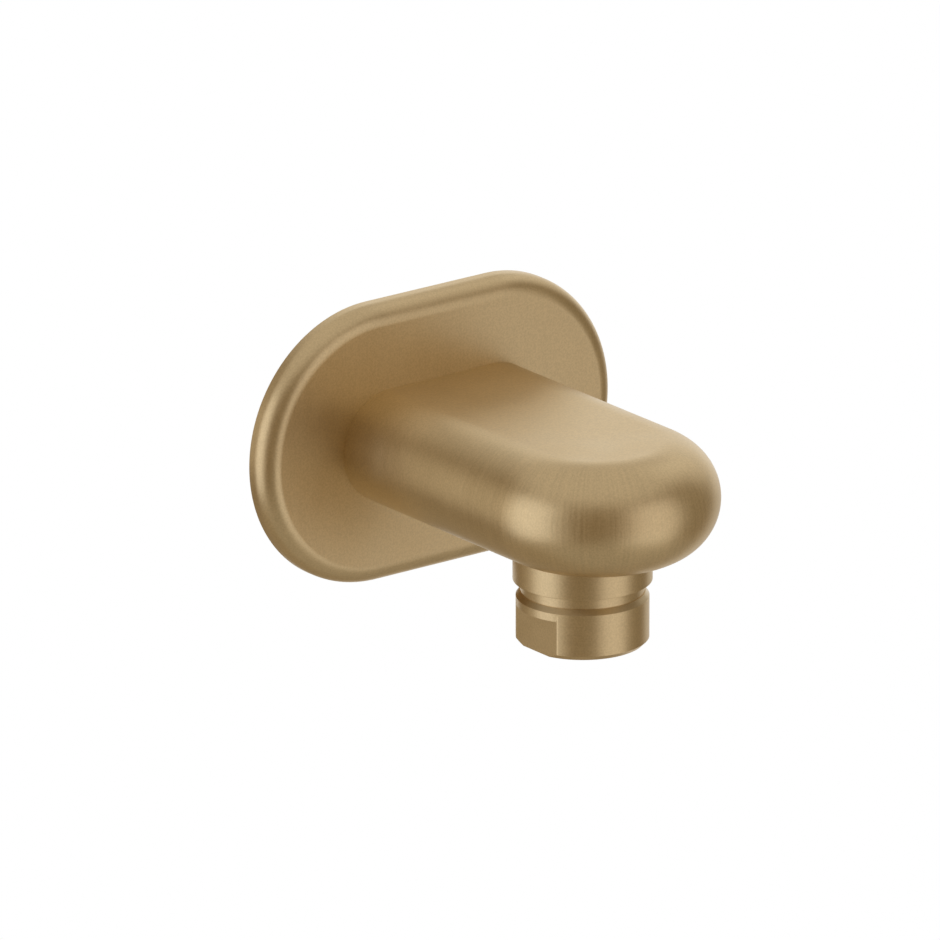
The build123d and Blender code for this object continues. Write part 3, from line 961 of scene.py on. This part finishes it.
# Poppet. A moulded disc with a tapered nose above and a stem below, which slides in the guide.
# The soft washer round its nose closes on the seat.
stem_radius = 1.2 * mm
stem_bottom = -16 * mm
disc_radius = 6 * mm
disc_bottom = -9.1 * mm
disc_top = -7.9 * mm
disc_edge_round = 0.25 * mm
nose_radius = 4.3 * mm
nose_shoulder = -6.9 * mm
nose_tip_radius = 2 * mm
nose_tip = -5.7 * mm
end_round = 0.35 * mm
washer_play = 0.02 * mm

poppet = turn(
    "check_valve_poppet_piece",
    [
        (stem_radius, stem_bottom),
        (stem_radius, disc_bottom),
        (disc_radius, disc_bottom),
        (disc_radius, disc_top),
        (nose_radius, disc_top),
        (nose_radius, nose_shoulder),
        (nose_tip_radius, nose_tip),
    ],
    bored=False,
    steps=96,
)
round_over(poppet, end_round, lambda p: p.z < stem_bottom + hair or p.z > nose_tip - hair, segments=4)
round_over(poppet, disc_edge_round, on_lathe(disc_radius, disc_bottom), segments=4)
close_up(poppet)
poppet.data.materials.append(plastic_finish)
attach(poppet, "poppet")
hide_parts("check_valve_poppet")
washer_section = there_and_back(nose_radius + washer_play, disc_radius, disc_top, nose_shoulder)
poppet_washer = turn("check_valve_seal_piece", washer_section, steps=96)
round_over(poppet_washer, disc_edge_round, on_lathe(disc_radius, nose_shoulder), segments=4)
close_up(poppet_washer)
poppet_washer.data.materials.append(rubber_finish)
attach(poppet_washer, "poppet")
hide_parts("check_valve_seal")

# Valve spring. Three turns of round stainless wire between the guide's spokes and the poppet.
# It shortens as the poppet is pushed off its seat; here it is drawn at one length.
wire_radius = 0.3 * mm
coil_radius = 3 * mm
spring_bottom = -17.25 * mm
spring_top = -9.4 * mm
spring_turns = 3
clear_bench()
bpy.ops.mesh.primitive_circle_add(
    vertices=12, radius=wire_radius, location=(coil_radius, 0, spring_bottom), rotation=(math.pi / 2, 0, 0)
)
valve_spring = open_for_editing("check_valve_spring_piece")
bpy.ops.object.mode_set(mode="OBJECT")
coil = valve_spring.modifiers.new("Coil", "SCREW")
coil.axis = "Z"
coil.screw_offset = (spring_top - spring_bottom) / spring_turns
coil.iterations = spring_turns
coil.steps = coil.render_steps = 48
bpy.ops.object.modifier_apply(modifier=coil.name)
bpy.ops.object.mode_set(mode="EDIT")
bpy.ops.mesh.select_all(action="SELECT")
bpy.ops.mesh.fill_holes(sides=0)
bpy.ops.transform.translate(value=(0, -outlet_reach, 0))
close_up(valve_spring, angle=50)
valve_spring.data.materials.append(steel_finish)
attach(valve_spring, "elbow")
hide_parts("check_valve_spring")
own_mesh(valve_spring)

# Studio. A pale floor, soft lamps and a camera at the height and turn of the photograph.
# The camera stands well back with a long lens, so there is little perspective.
camera_turn = -37.406
camera_rise = 18.8
camera_distance = 3.71079
camera_lens = 686.69
aim_right = 0.00922698
aim_down = 0.00935566
part_middle = Vector((0, -0.035, 0))
floor_size = 2.8
floor_drop = 1.2


def bearing(turn_from_front, rise):
    """The direction at a turn from the wall's front, towards +X, and at a rise."""
    turn_from_front, rise = math.radians(turn_from_front), math.radians(rise)
    level = math.cos(rise)
    return Vector((level * math.sin(turn_from_front), -level * math.cos(turn_from_front), math.sin(rise)))


back = bearing(camera_turn, camera_rise)
right = bearing(camera_turn + 90, 0)
up = back.cross(right)
camera = bpy.data.objects.new("camera", bpy.data.cameras.new("camera"))
bpy.context.scene.collection.objects.link(camera)
camera.data.sensor_width = 36
camera.data.lens = camera_lens
camera.data.clip_start = 0.1
camera.data.clip_end = 20
camera.location = right * aim_right - up * aim_down + back * camera_distance
camera.rotation_mode = "QUATERNION"
camera.rotation_quaternion = (-back).to_track_quat("-Z", "Y")
bpy.context.scene.camera = camera
bpy.context.scene.view_settings.view_transform = "Standard"

# Soft boxes: a tall lamp at each side of the arm, with a wider and dimmer diffuser round it
for name, turn_from_front, rise, distance, size, colour in (
    ("left_softbox", -102, 0, 1.5, (1.25, 1.85), (1.54, 1.68, 1.98)),
    ("left_diffuser", -95, 0, 1.55, (1.65, 2.27), (1.04, 1.10, 1.18)),
    ("right_softbox", 17, -3, 1.5, (1.15, 1.9), (0.76, 0.78, 0.85)),
    ("right_diffuser", 17, -3, 1.55, (1.55, 2.27), (1.14, 1.18, 1.29)),
):
    softbox = bpy.data.lights.new(name, "AREA")
    softbox.shape = "RECTANGLE"
    softbox.size, softbox.size_y = size
    strength = max(colour)
    softbox.color = [share / strength for share in colour]
    softbox.energy = strength * size[0] * size[1]
    lamp = bpy.data.objects.new(name, softbox)
    bpy.context.scene.collection.objects.link(lamp)
    towards = bearing(turn_from_front, rise)
    lamp.location = part_middle + towards * distance
    lamp.rotation_mode = "QUATERNION"
    lamp.rotation_quaternion = towards.to_track_quat("Z", "Y")

# Room: dim and warm, with a pale ceiling and a white backdrop behind the part, which is all the camera sees
world = bpy.data.worlds.new("studio")
bpy.context.scene.world = world
world.use_nodes = True
tree = world.node_tree
direction = add_node(tree, "ShaderNodeTexCoord", {}).outputs["Generated"]


def patch(turn_from_front, rise, outer, inner):
    """How far a direction lies within a soft round patch of the room."""
    feeds = {0: direction, 1: bearing(turn_from_front, rise)}
    facing = add_node(tree, "ShaderNodeVectorMath", feeds, operation="DOT_PRODUCT").outputs["Value"]
    return ease(tree, facing, math.cos(math.radians(outer)), math.cos(math.radians(inner)))


backdrop = patch(153, 4, 40, 19)
room = (0.23, 0.172, 0.102)
for share, colour in (
    (patch(0, 90, 62, 38), (0.40, 0.425, 0.46)),
    (patch(0, -90, 66, 40), (0.12, 0.12, 0.11)),
    (patch(126, -18, 36, 22), (0.48, 0.51, 0.54)),
    (patch(112, 15, 32, 10), (0.28, 0.30, 0.32)),
    (patch(100, 32, 28, 8), (0.29, 0.31, 0.34)),
    (patch(60, 0, 35, 10), (0.05, 0.06, 0.06)),
    (patch(-140, 2, 31, 10), (0.21, 0.205, 0.185)),
    (backdrop, (0.65, 0.70, 0.77)),
):
    feeds = {0: colour, "Scale": share}
    lit = add_node(tree, "ShaderNodeVectorMath", feeds, operation="SCALE").outputs[0]
    room = add_node(tree, "ShaderNodeVectorMath", {0: lit, 1: room}, operation="ADD").outputs[0]
ray = add_node(tree, "ShaderNodeLightPath", {}).outputs
mirrored = times(tree, either(tree, ray["Is Glossy Ray"], ray["Is Transmission Ray"]), backdrop)
sees_white = either(tree, ray["Is Camera Ray"], mirrored)
tree.links.new(blend_colours(tree, sees_white, room, (1, 1, 1)), tree.nodes["Background"].inputs["Color"])

# Floor: plain and pale, well below a part that hangs on a wall, and no further back than that wall
clear_bench()
bpy.ops.mesh.primitive_plane_add(size=floor_size, location=(0, -floor_size / 2, -floor_drop))
floor = bpy.context.object
floor.name = "floor"
paint = bpy.data.materials.new("floor_paint")
paint.use_nodes = True
floor.data.materials.append(paint)
tree = paint.node_tree
shader = tree.nodes["Principled BSDF"]
shader.inputs["Base Color"].default_value = (0.60, 0.57, 0.50, 1)
shader.inputs["Roughness"].default_value = 0.9
shader.inputs["Specular IOR Level"].default_value = 0.2
shader.inputs["Emission Color"].default_value = (1, 1, 1, 1)
ray = add_node(tree, "ShaderNodeLightPath", {}).outputs
tree.links.new(times(tree, ray["Is Camera Ray"], 0.8), shader.inputs["Emission Strength"])
below = add_node(tree, "ShaderNodeNewGeometry", {}).outputs["Backfacing"]
tree.links.new(work(tree, "SUBTRACT", 1, below), shader.inputs["Alpha"])
